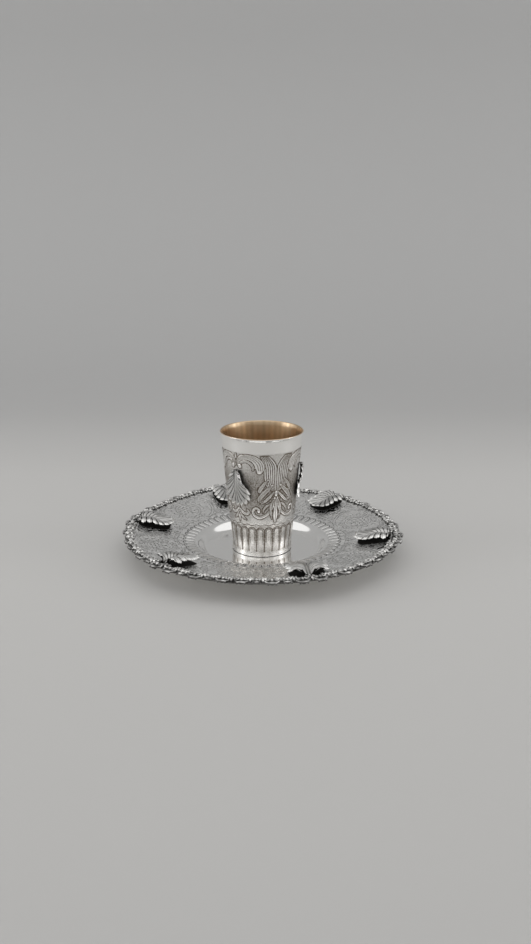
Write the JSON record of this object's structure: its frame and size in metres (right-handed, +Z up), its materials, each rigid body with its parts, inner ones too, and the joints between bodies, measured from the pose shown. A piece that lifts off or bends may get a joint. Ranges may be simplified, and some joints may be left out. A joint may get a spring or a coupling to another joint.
{
  "type": "kiddush cup with saucer",
  "caption": "Tapered silver wine cup with a fluted foot, chased scrolls and applied leaves, standing in the well of a round saucer with a cast scroll border and raised leaves.",
  "frame": {"origin": "on the table, under the middle of the saucer and of the cup", "axes": "+Z up, out of the cup's mouth; +X and +Y lie on the table, with the front of the cup towards -Y"},
  "size_m": [0.1924, 0.1908, 0.0857],
  "materials": {
    "polished_silver": "bright polished silver, matted between the chased scrolls",
    "engraved_silver": "satin silver with engraved and darkened lines",
    "cast_silver": "cast silver, bright on its high places and dark in its hollows",
    "gilt": "worn satin gilding inside the cup"
  },
  "bodies": {
    "root": {"cup_beaker": "polished_silver", "cup_leaf_1": "cast_silver", "cup_leaf_2": "cast_silver", "cup_leaf_3": "cast_silver", "saucer_plate": "engraved_silver", "saucer_border": "cast_silver", "saucer_leaf_1": "cast_silver", "saucer_leaf_2": "cast_silver", "saucer_leaf_3": "cast_silver", "saucer_leaf_4": "cast_silver", "saucer_leaf_5": "cast_silver", "saucer_leaf_6": "cast_silver"}
  },
  "joints": []
}
